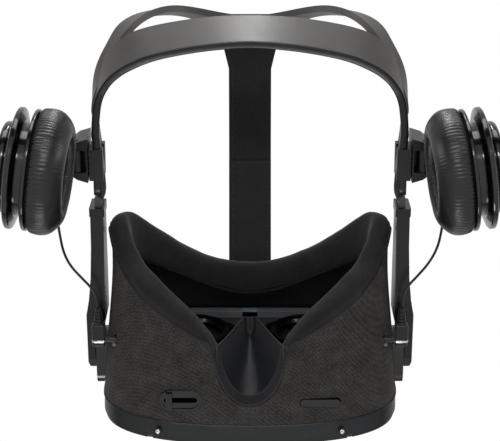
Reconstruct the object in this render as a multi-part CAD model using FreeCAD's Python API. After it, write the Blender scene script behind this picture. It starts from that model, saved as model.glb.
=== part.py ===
import FreeCAD, Part
import math
import os
from FreeCAD import Vector

# VR headset worn on the head: a cloth-wrapped visor, tilting side arms, a sliding forked
# rear band, a top strap and two clip-on headphones.
# Frame: +X wearer's left, +Y towards the back of the head, +Z up, millimetres.
# Origin: midway between the wearer's eyes, where the face seat holds the headset.

# ---- driving dimensions ------------------------------------------------------------
FRONT_Y = -97.0            # foremost point of the front plate
PLATE_BACK_Y = -94.2       # back of the front plate, where the rim starts
WRAP_FRONT_Y = -84.6       # where the rim ends and the cloth wrap starts
FRONT_RADIUS = 600.0       # the front is bowed about a vertical axis
WRAP_THICK = 1.2
SHELL_THICK = 2.4
TUNNEL_THICK = 2.0
FOAM_DEPTH = 13.0
FOAM_REAR_LIMIT_Y = 24.4
PANEL_Y = (-50.0, -47.5)   # the panel that the lens rings pass through
NOSE_FLAP_THICK = 1.3

EYE_X = 36.0               # each lens axis at rest, the widest setting
EYE_TRAVEL = 7.0           # each lens moves this far towards the nose
RING_RADIUS = 23.5
LENS_RADIUS = 20.5

PINION_TEETH = 10          # module 1
PINION_RADIUS = 5.0
PINION_Z = 33.0
RACK_Y = (-58.0, -55.0)

SLIDER_CENTRE = (40.6, -68.7)
KNOB_X = 47.3
ROCKER_CENTRE = (-41.1, -70.1)
ROCKER_PIN_RADIUS = 0.74

PIVOT = (-58.0, -4.0)      # Y and Z of the arms' tilt axis
PIVOT_PIN_RADIUS = 3.0
PIN_RUNNING_GAP = 0.06
ARM_INNER_X = 86.2
ARM_END_Y = 31.0
STRAP_X = (87.2, 91.2)     # side strap's inner and outer face
STRAP_HALF_HEIGHT = 7.3
STRAP_FRONT_Y = 0.0
STRAP_GAP = 0.3
BAND_THICK = 4.0

TOP_STRAP_HALF_WIDTH = 13.4
TOP_STRAP_THICK = 2.0

SWING_AXIS = (101.0, -8.0)  # X and Z of the left cup's swing axis, along Y
SWING_PIN_RADIUS = 1.5
CUP_CENTRE = Vector(123.7, 74.0, -54.0)
CUP_AXIS = Vector(0.9917, 0.122, 0.042)
CUP_RADIUS = 34.0
CUSHION_RADIUS = 35.6
CUSHION_HOLE = 19.5
CUSHION_THICK = 20.4

LEAD_RADIUS = 0.75
LEAD_LEFT = [
    (89.3, -20.0, -26.0), (89.5, -12.5, -26.6), (92.8, -6.0, -28.3), (98.6, 0.6, -28.6),
    (104.6, 6.4, -26.0), (109.0, 13.0, -21.0), (111.4, 21.4, -15.0), (113.0, 29.5, -10.5),
    (115.6, 37.2, -7.6), (118.6, 44.2, -8.2), (120.4, 50.0, -13.0), (120.4, 55.3, -22.1)]
LEAD_RIGHT = [
    (-89.3, -20.0, -26.0), (-89.4, -12.0, -26.6), (-92.2, -5.0, -28.3), (-97.8, 1.6, -28.8),
    (-104.2, 8.6, -26.6), (-109.4, 16.0, -21.5), (-112.0, 23.4, -15.0), (-113.4, 31.0, -10.6),
    (-115.8, 38.2, -7.8), (-118.8, 44.8, -8.6), (-120.4, 50.0, -13.0), (-120.4, 55.3, -22.1)]

X_AXIS = Vector(1, 0, 0)
Y_AXIS = Vector(0, 1, 0)
Z_AXIS = Vector(0, 0, 1)


# ---- helpers -----------------------------------------------------------------------
def box(x, y, z):
    """A block from three (low, high) pairs."""
    size = [high - low for low, high in (x, y, z)]
    return Part.makeBox(size[0], size[1], size[2], Vector(x[0], y[0], z[0]))


def rod(start, axis, radius, length):
    return Part.makeCylinder(radius, length, Vector(*start), axis)


def slab(outline, push):
    """The solid that a closed flat outline sweeps along a vector."""
    points = [Vector(*point) for point in outline]
    return Part.Face(Part.makePolygon(points + points[:1])).extrude(Vector(*push))


def stadium(centre, length, width, z):
    """A rounded bar along X between two heights."""
    low, high = z
    half = length / 2 - width / 2
    middle = box((centre[0] - half, centre[0] + half),
                 (centre[1] - width / 2, centre[1] + width / 2), z)
    ends = [rod((centre[0] + side * half, centre[1], low), Z_AXIS, width / 2, high - low)
            for side in (-1, 1)]
    return middle.fuse(ends).removeSplitter()


def mirrored(shape):
    return shape.mirror(Vector(0, 0, 0), X_AXIS)


def both_sides(shape):
    return Part.makeCompound([shape, mirrored(shape)])


def save(name, shape):
    solids = [solid for solid in shape.Solids if solid.Volume > 0.05]
    result = solids[0] if len(solids) == 1 else Part.makeCompound(solids)
    bad = "" if result.isValid() else "  NOT VALID"
    print(f"{name:20s} solids {len(solids)}  {result.Volume / 1000:8.2f} cm3{bad}")
    result.exportStep(f"parts/{name}.step")
    return result


# ---- the visor's outer form --------------------------------------------------------
# Each section: distance along Y, half width, half height, squareness, height of its middle.
SECTIONS = [(-102, 88.5, 51.0, 3.6, 0.0), (-82, 88.4, 50.8, 3.6, 0.0), (-55, 86.8, 49.8, 3.3, 0.0),
            (-28, 84.4, 47.2, 2.8, 0.6), (-5, 82.6, 41.5, 2.45, 1.8), (12, 82.8, 35.0, 2.25, 4.0),
            (30, 85.2, 28.0, 2.1, 6.0)]


def section_wire(y, half_width, half_height, squareness, middle, inset):
    points = []
    steps = 32
    for step in range(steps):
        angle = 2 * math.pi * step / steps
        c, s = math.cos(angle), math.sin(angle)
        x = math.copysign(abs(c) ** (2 / squareness), c) * (half_width - inset)
        z = math.copysign(abs(s) ** (2 / squareness), s) * (half_height - inset) + middle
        points.append(Vector(x, y, z))
    curve = Part.BSplineCurve()
    curve.interpolate(Points=points, PeriodicFlag=True)
    return Part.Wire(curve.toShape())


def visor_form(inset=0.0):
    """The visor's rounded box, each face moved in by the inset."""
    return Part.makeLoft([section_wire(*section, inset) for section in SECTIONS], True, False)


def behind_front(y):
    """Everything behind the bowed front at this depth."""
    return rod((0, y + FRONT_RADIUS, -80), Z_AXIS, FRONT_RADIUS, 160)


def behind_lip(shift=0.0):
    """Everything behind the lip where the face foam seats, moved back by the shift."""
    half = [(84.9, 20.5), (80.5, 7.0), (74, -0.5), (60, -10.7), (48, -17.5), (29, -27.5), (15, -33.0)]
    profile = [(-x, y) for x, y in half] + [(0, -35.0)] + [(x, y) for x, y in reversed(half)]
    low_z, lean = -80.0, 0.1
    points = [Vector(x, y + shift + lean * low_z, low_z) for x, y in profile]
    curve = Part.BSplineCurve()
    curve.interpolate(points)
    side = 100.0
    back = 90.0
    ends = [points[-1], Vector(side, points[-1].y + 20, low_z), Vector(side, back, low_z),
            Vector(-side, back, low_z), Vector(-side, points[0].y + 20, low_z), points[0]]
    wire = Part.Wire([curve.toShape()] + Part.makePolygon(ends).Edges)
    return Part.Face(wire).extrude(Vector(0, -2 * low_z * lean, -2 * low_z))


def nose_space(margin=0.0):
    """The hollow for the nose: a scoop that narrows upwards, open behind and below."""
    wires = []
    for z, half_width, front_y in ((-60, 24.0, -76.0), (-2, 2.5, -46.5)):
        half_width += margin
        depth = -front_y - 40 + margin
        curve = Part.BSplineCurve()
        curve.interpolate([Vector(half_width * math.sin(turn), -40 - depth * math.cos(turn), z)
                           for turn in [math.radians(15 * step - 90) for step in range(13)]])
        ends = [Vector(half_width, -40, z), Vector(half_width, 45, z),
                Vector(-half_width, 45, z), Vector(-half_width, -40, z)]
        wires.append(Part.Wire([curve.toShape()] + Part.makePolygon(ends).Edges))
    return Part.makeLoft(wires, True, True)


def face_opening():
    """The hole that the face looks through, straight along Y."""
    half = [(0, 31.5), (28, 30.5), (50, 26.0), (65, 19.0), (71.0, 10.0), (67, -2), (55, -15.5),
            (40, -26.0), (29, -32.5), (21, -38.0), (18.5, -48)]
    points = [Vector(x, -60, z) for x, z in half]
    curve = Part.BSplineCurve()
    curve.interpolate(points)
    right = curve.toShape()
    left = right.mirror(Vector(0, 0, 0), X_AXIS)
    floor = Part.makePolygon([Vector(18.5, -60, -48), Vector(18.5, -60, -60),
                              Vector(-18.5, -60, -60), Vector(-18.5, -60, -48)])
    wire = Part.Wire(Part.__sortEdges__([right, left] + floor.Edges))
    return Part.Face(wire).extrude(Vector(0, 110, 0))


BODY = visor_form()
INSIDE_WRAP = visor_form(WRAP_THICK)
INSIDE_SHELL = visor_form(WRAP_THICK + SHELL_THICK)
INSIDE_TUNNEL = visor_form(WRAP_THICK + SHELL_THICK + TUNNEL_THICK)
BEHIND_LIP = behind_lip()
CLEAR_OF_BODY = visor_form(-0.1)
NOSE = nose_space()
NOSE_CUT = nose_space(NOSE_FLAP_THICK)


# ---- visor ------------------------------------------------------------------------
def slider_pocket(z, margin=0.0):
    return stadium(SLIDER_CENTRE, 24.5 + 2 * margin, 13.0 + 2 * margin, z)


def rocker_pocket(margin):
    return stadium(ROCKER_CENTRE, 23.6 + 2 * margin, 5.0 + 2 * margin, (-60, -40))


def jack_centre():
    """Middle of the left jack, whose axis runs into the visor's side."""
    return (77.0, -40.0, -26.0)


def jack_hole(radius):
    hole = rod(jack_centre(), X_AXIS, radius, 12)
    return hole.fuse(mirrored(hole))


def port_block(margin=0.0):
    """The charging port, low on the wearer's left near the front."""
    return box((77, 90), (-78 - margin, -74 + margin), (6 - margin, 15.5 + margin))


def button_hole(radius):
    """The power button on the wearer's right."""
    return rod((-92, -72, 21), X_AXIS, radius, 14)


def screws():
    """Four screws that hold the front plate to the rim behind it."""
    return [rod((x, -93.0, z), Y_AXIS, 1.4, 5.6).fuse(rod((x, -94.1, z), Y_AXIS, 2.4, 1.2))
            for x, z in ((-76, 0), (76, 0), (-40, 46.6), (40, 46.6))]


def rocker_pin(radius, length):
    """The pin across the rocker's pocket that the rocker turns on."""
    x, y = ROCKER_CENTRE
    return rod((x, y - length / 2, -47.6), Y_AXIS, radius, length)


def make_visor():
    front = behind_front(FRONT_Y).cut(behind_front(PLATE_BACK_Y))
    rim_zone = behind_front(PLATE_BACK_Y).cut(behind_front(WRAP_FRONT_Y))
    wrap_zone = behind_front(WRAP_FRONT_Y)
    camera_holes = [rod((x, -100, z), Y_AXIS, 4.2, 17) for x in (-58, 58) for z in (-42.5, 42.5)]
    save("front_plate", visor_form(1.0).common(front).cut(camera_holes + screws()))
    rim = BODY.cut(visor_form(3.0)).common(rim_zone)
    backing = INSIDE_WRAP.cut(visor_form(9.0)).common(behind_front(-87.0).cut(wrap_zone))
    save("front_rim", rim.fuse(backing).cut(camera_holes + screws()))
    openings = [slider_pocket((-60, -40)), rocker_pocket(0.3), jack_hole(4.2), port_block(), button_hole(4.0)]
    wrap = BODY.cut(INSIDE_WRAP).common(wrap_zone).cut(BEHIND_LIP).cut(NOSE_CUT)
    save("fabric_wrap", wrap.cut(openings))
    shell = INSIDE_WRAP.cut(INSIDE_SHELL).common(wrap_zone).cut(BEHIND_LIP).cut(NOSE_CUT)
    save("visor_shell", shell.cut(openings).fuse(rocker_pin(ROCKER_PIN_RADIUS, 6.8)))
    save("shell_screws", Part.makeCompound(screws()))


def make_face_parts():
    opening = face_opening()
    tunnel_zone = box((-100, 100), (-46.5, 60), (-70, 70))
    tunnel = INSIDE_SHELL.cut(INSIDE_TUNNEL).common(tunnel_zone)
    flange = INSIDE_SHELL.common(behind_lip(-1.8)).cut(opening)
    save("face_frame", tunnel.fuse(flange).cut(BEHIND_LIP).cut(NOSE_CUT).cut(jack_hole(4.2)))
    foam = visor_form(0.6).common(BEHIND_LIP).cut(behind_lip(FOAM_DEPTH)).cut(opening).cut(NOSE_CUT)
    save("face_foam", foam.common(box((-90, 90), (-60, FOAM_REAR_LIMIT_Y), (-70, 70))))
    flap = NOSE_CUT.cut(NOSE).common(visor_form(0.3)).cut(BEHIND_LIP)
    save("nose_flap", flap.common(box((-30, 30), (-90, -24), (-60, -1))))


def make_lens_panel():
    panel = INSIDE_TUNNEL.common(box((-100, 100), PANEL_Y, (-70, 70))).cut(NOSE_CUT)
    slot = stadium((EYE_X - EYE_TRAVEL / 2, 0), 2 * RING_RADIUS + EYE_TRAVEL + 1.2,
                   2 * RING_RADIUS + 1.2, (-60, -40))
    slot.rotate(Vector(0, 0, 0), X_AXIS, -90)
    save("lens_panel", panel.cut([slot, mirrored(slot)]))
    bar = box((-37, 37), (PANEL_Y[1], PANEL_Y[1] + 3.8), (26, 33))
    window_seat = box((-4.7, 4.7), (PANEL_Y[1] + 0.8, PANEL_Y[1] + 4), (25.9, 26.4))
    save("sensor_bar", bar.cut(window_seat))


def make_cameras():
    modules, windows = [], []
    for x in (-58, 58):
        for z in (-42.5, 42.5):
            modules.append(rod((x, -92.0, z), Y_AXIS, 4.2, 9).cut(rod((x, -92.0, z), Y_AXIS, 2.2, 3)))
            windows.append(rod((x, -93.6, z), Y_AXIS, 4.1, 1.6))
    save("tracking_cameras", Part.makeCompound(modules))
    save("camera_windows", Part.makeCompound(windows))


def make_electronics():
    board = box((-62, 62), (-87, -85.6), (-34, 38))
    chips = [box((x, x + w), (-85.6, -84.4), (z, z + h)) for x, z, w, h in
             ((-50, -8, 18, 18), (-24, 6, 14, 14), (30, -20, 16, 12), (-52, -30, 22, 10), (20, -32, 12, 9))]
    save("main_board", board.fuse(chips))
    battery = box((-12, 52), (-84.2, -79.2), (6, 38))
    save("battery", battery.makeFillet(1.5, battery.Edges))
    fan = (0, -84.2, -14)
    wall = rod(fan, Y_AXIS, 15.0, 5.0).cut(rod(fan, Y_AXIS, 13.6, 5.0))
    base = rod(fan, Y_AXIS, 15.0, 0.8)
    spindle = rod(fan, Y_AXIS, 1.0, 4.4)
    save("fan_housing", wall.fuse([base, spindle]))
    hub = rod((0, -83.0, -14), Y_AXIS, 4.5, 3.4)
    blades = []
    for blade in range(7):
        vane = box((-0.5, 0.5), (-82.8, -80.0), (-1.2, 8.6))
        vane.translate(Vector(0, 0, 4))
        vane.rotate(Vector(0, 0, 0), Y_AXIS, 360 / 7 * blade)
        vane.translate(Vector(0, 0, -14))
        blades.append(vane)
    bore = rod((0, -85, -14), Y_AXIS, 1.0 + PIN_RUNNING_GAP, 6)
    save("fan_rotor", hub.fuse(blades).cut(bore))


# ---- lenses and their eye-distance drive ------------------------------------------------
def rack(length_x, pitch_z, up):
    """A straight rack along X whose teeth point up (1) or down (-1) at the pinion."""
    root = pitch_z - 1.1 * up
    back = root - 2.2 * up
    x0, x1 = length_x
    body = box((x0, x1), RACK_Y, (min(root, back), max(root, back)))
    teeth = []
    for index in range(-4, 5):
        middle = math.pi * index
        if x0 + 1 < middle < x1 - 1:
            outline = [(middle - 0.95, RACK_Y[0], root - 0.2 * up), (middle + 0.95, RACK_Y[0], root - 0.2 * up),
                       (middle + 0.35, RACK_Y[0], pitch_z + 0.75 * up),
                       (middle - 0.35, RACK_Y[0], pitch_z + 0.75 * up)]
            teeth.append(slab(outline, (0, RACK_Y[1] - RACK_Y[0], 0)))
    return body.fuse(teeth)


def make_pinion():
    disc = rod((0, RACK_Y[0], PINION_Z), Y_AXIS, 3.85, RACK_Y[1] - RACK_Y[0])
    teeth = []
    for index in range(PINION_TEETH):
        tooth = slab([(3.4, RACK_Y[0], -0.85), (PINION_RADIUS, RACK_Y[0], -0.55), (5.75, RACK_Y[0], -0.3),
                      (5.75, RACK_Y[0], 0.3), (PINION_RADIUS, RACK_Y[0], 0.55), (3.4, RACK_Y[0], 0.85)],
                     (0, RACK_Y[1] - RACK_Y[0], 0))
        tooth.rotate(Vector(0, 0, 0), Y_AXIS, 360 / PINION_TEETH * (index + 0.5) + 18)
        tooth.translate(Vector(0, 0, PINION_Z))
        teeth.append(tooth)
    bore = rod((0, RACK_Y[0] - 1, PINION_Z), Y_AXIS, 1.5 + PIN_RUNNING_GAP, 8)
    save("ipd_pinion", disc.fuse(teeth).cut(bore))
    post = rod((0, RACK_Y[0] - 2.0, PINION_Z), Y_AXIS, 1.5, PANEL_Y[0] - RACK_Y[0] + 2.0)
    head = rod((0, RACK_Y[0] - 2.0, PINION_Z), Y_AXIS, 2.6, 1.6)
    save("pinion_post", post.fuse(head))


def make_eye(side, word):
    """One lens group: the barrel with its carriage plate and rack, the lens and the display."""
    x = EYE_X * side
    barrel = rod((x, -75.2, 0), Y_AXIS, RING_RADIUS, 31.2).cut(rod((x, -75.3, 0), Y_AXIS, LENS_RADIUS, 31.4))
    lips = rod((x, -46.8, 0), Y_AXIS, RING_RADIUS, 2.8).cut(Part.makeCone(18.6, 22.4, 2.8,
                                                            Vector(x, -46.8, 0), Y_AXIS))
    corners = ((33, -26), (-16, -26), (-24, -10), (-26.5, -5), (-26.5, 27), (33, 27))
    plate = slab([(x + side * out, -52.5, z) for out, z in corners], (0, 1.9, 0))
    plate = plate.cut(rod((x, -53, 0), Y_AXIS, LENS_RADIUS, 3))
    if side > 0:
        toothed = rack((-10.0, 34.0), PINION_Z + PINION_RADIUS, -1)
        leg = box((24, 34), RACK_Y, (25, 41.3))
        foot = box((24, 34), (RACK_Y[1], -52.5), (25, 27))
    else:
        toothed = rack((-34.0, 10.0), PINION_Z - PINION_RADIUS, 1)
        leg = box((-34, -24), RACK_Y, (24.7, 27))
        foot = box((-34, -24), (RACK_Y[1], -52.5), (25, 27))
    save("lens_ring_" + word, barrel.fuse([lips, plate, toothed, leg, foot]))
    front_ball = Part.makeSphere(60, Vector(x, -46.9 - 60, 0))
    back_ball = Part.makeSphere(48, Vector(x, -54.5 + 48, 0))
    glass = rod((x, -54.5, 0), Y_AXIS, LENS_RADIUS, 8).common(front_ball).common(back_ball)
    save("lens_" + word, glass)
    save("display_" + word, box((x - 22, x + 22), (-77.4, -75.2), (-21, 21)))


# ---- controls under and beside the visor ------------------------------------------------
def make_controls():
    track = slider_pocket((-50.0, -46.0)).cut(stadium(SLIDER_CENTRE, 19.4, 3.2, (-60, -40)))
    well = slider_pocket((-50.5, -49.0), -1.2).cut(stadium(SLIDER_CENTRE, 19.4, 3.2, (-60, -40)))
    save("ipd_track", track.cut(well.common(box((0, 90), (-90, -50), (-50.1, -49.2)))))
    y = SLIDER_CENTRE[1]
    cap = box((KNOB_X - 1.85, KNOB_X + 1.85), (y - 5.2, y + 5.2), (-51.3, -50.3))
    ribs = [box((KNOB_X - 1.85 + step * 0.93, KNOB_X - 1.4 + step * 0.93), (y - 5.0, y + 5.0), (-51.9, -51.2))
            for step in range(4)]
    stem = box((KNOB_X - 1.2, KNOB_X + 1.2), (y - 1.3, y + 1.3), (-50.4, -44.0))
    guide = box((KNOB_X - 1.8, KNOB_X + 1.8), (y - 3.5, y + 3.5), (-45.6, -44.0))
    save("ipd_knob", cap.fuse(ribs + [stem, guide]))
    rocker = stadium(ROCKER_CENTRE, 23.2, 4.6, (-50.3, -46.6))
    save("volume_rocker", rocker.cut(rocker_pin(ROCKER_PIN_RADIUS + PIN_RUNNING_GAP, 8)))
    save("power_button", rod((-87.9, -72, 21), X_AXIS, 3.7, 4.6).fuse(rod((-83.6, -72, 21), X_AXIS, 1.6, 3.0)))
    port = port_block().common(visor_form(0.4))
    mouth = box((84, 95), (-77.3, -74.7), (6.9, 14.6))
    save("usb_port", port.cut(mouth).fuse(box((84, 86.8), (-76.3, -75.7), (8.2, 13.3))))
    lamp = rod((58, -96.8, -30), Y_AXIS, 0.9, 3.0)
    save("status_led", lamp.cut(visor_form(1.0).common(behind_front(FRONT_Y)).cut(behind_front(PLATE_BACK_Y))))


def make_jacks_and_plugs():
    x, y, z = jack_centre()
    sleeve = rod((x, y, z), X_AXIS, 4.1, 12).common(visor_form(0.2))
    sleeve = sleeve.cut(rod((x, y, z), X_AXIS, 1.85, 12))
    save("jack_sockets", both_sides(sleeve))
    side_x = 85.4
    body = box((side_x, 93.2), (-43.6, -29.5), (-29.6, -22.4))
    body = body.makeFillet(1.4, body.Edges)
    tip = rod((x + 1.0, y, z), X_AXIS, 1.75, side_x - x - 0.6)
    relief = Part.makeCone(3.0, 1.7, 9.5, Vector(89.3, -29.6, z), Y_AXIS)
    grooves = [rod((89.3, -28.4 + 1.9 * ring, z), Y_AXIS, 3.4, 0.7).cut(
        rod((89.3, -28.5 + 1.9 * ring, z), Y_AXIS, 2.25 - 0.26 * ring, 0.9)) for ring in range(4)]
    plug = body.fuse([tip, relief]).cut(grooves)
    save("plug_left", plug)
    save("plug_right", mirrored(plug))


# ---- arms ----------------------------------------------------------------------------
def arm_outline_solid():
    plan = [(92.7, -66, -30), (96.0, -64.5, -30), (97.2, -60, -30), (97.4, -29, -30), (95.6, -19, -30),
            (94.4, -6, -30), (93.9, 12, -30), (93.9, ARM_END_Y, -30), (ARM_INNER_X, ARM_END_Y, -30),
            (ARM_INNER_X, -33, -30), (88.0, -40.2, -30), (92.7, -40.4, -30)]
    side = [(80, -66, -3), (80, -63.5, -12), (80, -57, -16.5), (80, -24, -16.8), (80, -6, -14.0),
            (80, 14, -10.6), (80, ARM_END_Y, -9.6), (80, ARM_END_Y, 9.6), (80, 8, 10.4),
            (80, -24, 12), (80, -57, 11.4), (80, -64, 6)]
    return slab(plan, (0, 0, 60)).common(slab(side, (30, 0, 0)))


def strap_space(y):
    low = STRAP_X[0] - STRAP_GAP
    high = STRAP_X[1] + STRAP_GAP
    height = STRAP_HALF_HEIGHT + STRAP_GAP
    return box((low, high), y, (-height, height))


def make_arms():
    pivot_y, pivot_z = PIVOT
    arm = arm_outline_solid()
    arm = arm.makeFillet(0.8, [edge for edge in arm.Edges if edge.Length > 20 and
                               edge.BoundBox.XMin > 93 and edge.BoundBox.YMax < 30])
    arm = arm.cut(strap_space((-20, 40)))
    arm = arm.cut(rod((90, pivot_y, pivot_z), X_AXIS, PIVOT_PIN_RADIUS + PIN_RUNNING_GAP, 5.0))
    arm = arm.cut(box((89.0, 93.6), (-37, -23), (-11, 8)))
    save("arm_left", arm)
    save("arm_right", mirrored(arm))
    speaker = box((89.2, 93.4), (-36.8, -23.2), (-10.8, 7.8))
    save("arm_speakers", both_sides(speaker))
    collar = box((85.6, 94.5), (ARM_END_Y, 36), (-10.3, 10.3))
    collar = collar.makeFillet(1.5, [edge for edge in collar.Edges if abs(edge.tangentAt(edge.FirstParameter).y) > 0.9])
    save("arm_collars", both_sides(collar.cut(strap_space((-20, 40)))))
    mount = box((80, 92.3), (-65.2, -51.0), (-16, 8)).fuse(
        [rod((80, -51.0 - 14.2 * end, -4), X_AXIS, 12, 12.3) for end in (0, 1)])
    mount = mount.common(box((80, 93), (-73, -44), (-17, 9))).cut(CLEAR_OF_BODY)
    mount = mount.cut(rod((80, pivot_y, pivot_z), X_AXIS, PIVOT_PIN_RADIUS, 14))
    save("pivot_mounts", both_sides(mount))
    pin = rod((86.9, pivot_y, pivot_z), X_AXIS, PIVOT_PIN_RADIUS, 7.9).cut(CLEAR_OF_BODY)
    save("pivot_pins", both_sides(pin))


# ---- rear band -------------------------------------------------------------------------
LOWER_EDGES = [((89.2, 40, -7.3), (89.2, 40, 7.3)), ((89.2, 74, -7.3), (89.2, 74, 7.3)),
               ((89.6, 82, -7.0), (90.2, 82, 8.0)), ((87.6, 99, -6.6), (90.0, 101, 9.0)),
               ((82.8, 109.6, -8.8), (87.2, 113, 10.5)), ((76.2, 116.6, -10.4), (81.0, 124, 13.0)),
               ((67.6, 121.9, -11.4), (71.4, 132.6, 14.8)), ((55, 127.2, -12.6), (58, 137.6, 15)),
               ((38, 131.2, -13.4), (39.5, 141.2, 15)), ((19, 134, -13.9), (19.6, 143.6, 14.5))]
LOWER_MIDDLE = ((0, 135.2, -14), (0, 144.3, 14))
UPPER_EDGES = [((89.6, 92, -4.6), (90.6, 94, 7.6)), ((86.4, 107, -1.5), (89.6, 108.6, 10)),
               ((82, 117, 4.2), (86.4, 120, 16)), ((76.6, 127.4, 13), (80.6, 130.2, 27)),
               ((70, 135.6, 22), (73.6, 136.8, 38)), ((62, 141, 32), (63.6, 139, 49)),
               ((51, 143, 45), (50, 138.2, 61)), ((40, 141.4, 55), (38.5, 134.6, 71)),
               ((27, 137.6, 63), (26, 128.4, 78)), ((13, 134, 68), (12.5, 122.6, 82))]
UPPER_MIDDLE = ((0, 132.4, 70), (0, 120.6, 84))


def band_branch(side_edges, middle):
    """A curved flat branch through cross-sections, each given by its lower and upper edge."""
    left = [(Vector(*low), Vector(*high)) for low, high in side_edges]
    centre = (Vector(*middle[0]), Vector(*middle[1]))
    right = [(Vector(-low.x, low.y, low.z), Vector(-high.x, high.y, high.z)) for low, high in reversed(left)]
    edges = left + [centre] + right
    middles = [(low + high) * 0.5 for low, high in edges]
    wires = []
    for index, (low, high) in enumerate(edges):
        before = middles[max(index - 1, 0)]
        after = middles[min(index + 1, len(edges) - 1)]
        out = (high - low).cross(after - before)
        out.normalize()
        out = out * (BAND_THICK / 2)
        corners = [low - out, high - out, high + out, low + out]
        wires.append(Part.makePolygon(corners + corners[:1]))
    return Part.makeLoft(wires, True, False)


def make_rear_band():
    lower = band_branch(LOWER_EDGES, LOWER_MIDDLE)
    upper = band_branch(UPPER_EDGES, UPPER_MIDDLE)
    tongue = box(STRAP_X, (STRAP_FRONT_Y, 42), (-STRAP_HALF_HEIGHT, STRAP_HALF_HEIGHT))
    return save("rear_band", lower.fuse([upper, tongue, mirrored(tongue)]))


# ---- top strap ------------------------------------------------------------------------
STRAP_FRONT_LINE = [(-51, 53.4), (-38, 56.0), (-23, 61.0), (0, 69.5), (20, 76.2), (38, 81.0)]
STRAP_REAR_LINE = [(22, 79.3), (38, 83.4), (63, 87.2), (92, 88.9), (108, 88.7), (117, 87.2), (123, 84.2),
                   (128.3, 78.4), (132.8, 73.0)]
STRAP_FLARE = 4.0          # how much wider the strap is on each side where it meets the band


def strap_band(line, half_width):
    """A stretch of flat strap: the line of its underside in the YZ plane, pushed out along X."""
    under, over = [], []
    for index, (y, z) in enumerate(line):
        before = line[max(index - 1, 0)]
        after = line[min(index + 1, len(line) - 1)]
        run = Vector(0, after[0] - before[0], after[1] - before[1])
        run.normalize()
        normal = Vector(0, -run.z, run.y)
        place = Vector(-half_width, y, z)
        under.append(place)
        over.append(place + normal * TOP_STRAP_THICK)
    low, high = Part.BSplineCurve(), Part.BSplineCurve()
    low.interpolate(under)
    high.interpolate(over)
    wire = Part.Wire([low.toShape(), Part.makeLine(under[-1], over[-1]),
                      high.toShape(), Part.makeLine(over[0], under[0])])
    return Part.Face(Part.Wire(Part.__sortEdges__(wire.Edges))).extrude(Vector(2 * half_width, 0, 0))


def make_top_strap(band):
    save("top_strap_front", strap_band(STRAP_FRONT_LINE, TOP_STRAP_HALF_WIDTH))
    width = TOP_STRAP_HALF_WIDTH
    plan = [(-width, 10, 60), (width, 10, 60), (width, 96, 60), (width + STRAP_FLARE, 112, 60),
            (width + STRAP_FLARE, 140, 60), (-width - STRAP_FLARE, 140, 60), (-width - STRAP_FLARE, 112, 60),
            (-width, 96, 60)]
    rear = strap_band(STRAP_REAR_LINE, width + STRAP_FLARE).common(slab(plan, (0, 0, 40)))
    save("top_strap_rear", rear.cut(band))
    save("strap_anchor", box((-19, 19), (-60, -40), (47, 53.0)).cut(CLEAR_OF_BODY))


# ---- headphones --------------------------------------------------------------------------
def make_clips(band):
    low, high = STRAP_X
    top = STRAP_HALF_HEIGHT
    outside = box((low - 1.7, high + 2.3), (53, 72), (-top - 2.2, top + 2.2))
    clip = outside.cut(box((low, high), (50, 75), (-top, top)))
    ridges = [box((high + 2.2, high + 2.9), (55 + 3 * step, 56.4 + 3 * step), (-top, top)) for step in range(5)]
    mouth = box((low - 3, low + 0.5), (50, 75), (-3.2, 3.2))
    save("headphone_clips", both_sides(clip.fuse(ridges).cut(mouth)).cut(band))


def make_blocks():
    x0 = STRAP_X[1] + 2.9
    plan = [(x0, 52.5, -12), (100.5, 54.5, -12), (105.6, 58.5, -12), (106.4, 65, -12), (105.6, 73, -12),
            (100.5, 77, -12), (x0, 79, -12)]
    block = slab(plan, (0, 0, 25.5))
    x, z = SWING_AXIS
    knuckle_room = rod((x, 58.8, z), Y_AXIS, 6.1, 13.4).fuse(
        [box((x - 6.1, 112), (58.8, 72.2), (-13, z + 6.1)), box((x, 112), (58.8, 72.2), (-8, 5.4))])
    block = block.cut(knuckle_room.common(box((95, 112), (58.8, 72.2), (-20, 20))))
    block = block.cut(rod((x, 50, z), Y_AXIS, SWING_PIN_RADIUS, 30))
    save("hinge_blocks", both_sides(block))
    save("swing_pins", both_sides(rod((x, 55.5, z), Y_AXIS, SWING_PIN_RADIUS, 19.5)))


def cup_frame(shape):
    """Put a shape built on +X about the origin at the left cup: X outwards along the cup's axis."""
    turn = FreeCAD.Rotation(Vector(1, 0, 0), CUP_AXIS)
    placed = shape.copy()
    placed.Placement = FreeCAD.Placement(CUP_CENTRE, turn)
    return placed


def disc(x0, x1, radius):
    return rod((x0, 0, 0), X_AXIS, radius, x1 - x0)


def rounded_disc(x0, x1, radius, fillet):
    shape = disc(x0, x1, radius)
    return shape.makeFillet(fillet, [edge for edge in shape.Edges if edge.Closed])


def turned(profile):
    """A solid of revolution about X from (x, radius) pairs."""
    outline = [(profile[0][0], 0, 0)] + [(x, 0, radius) for x, radius in profile] + [(profile[-1][0], 0, 0)]
    points = [Vector(*point) for point in outline]
    return Part.Face(Part.makePolygon(points + points[:1])).revolve(Vector(0, 0, 0), X_AXIS, 360)


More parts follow.
